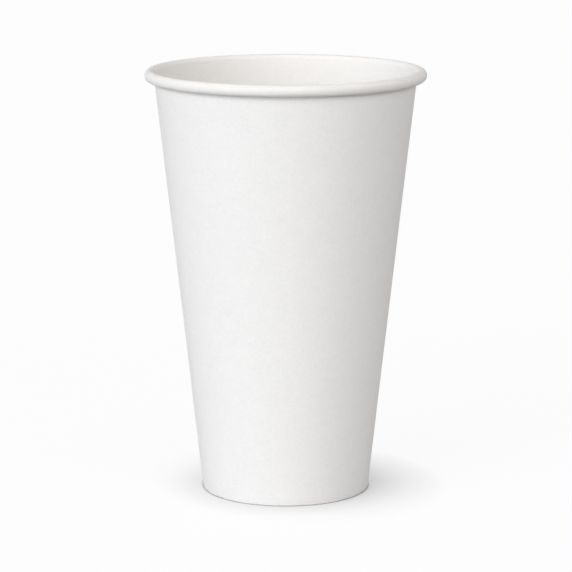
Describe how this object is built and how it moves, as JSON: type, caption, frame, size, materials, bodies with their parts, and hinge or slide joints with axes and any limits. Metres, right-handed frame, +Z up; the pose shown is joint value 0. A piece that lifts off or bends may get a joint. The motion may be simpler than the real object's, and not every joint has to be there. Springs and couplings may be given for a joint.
{
  "type": "paper coffee cup",
  "caption": "Tapered single-wall paper cup with a hollow rolled rim, a lapped side seam and a recessed base held in a turned-in foot.",
  "frame": {"origin": "centre of the foot, on the surface that the cup stands on", "axes": "+Z up along the cup's axis from foot to rim; -Y towards the side that faces the viewer; the side seam lies at -X, a little towards +Y"},
  "size_m": [0.09, 0.09, 0.1365],
  "materials": {
    "sidewall_board": "uncoated white paperboard, faint fibre mottle",
    "base_board": "white paperboard with a thin sealed coating"
  },
  "bodies": {
    "root": {"sidewall": "sidewall_board", "base": "base_board"}
  },
  "joints": []
}
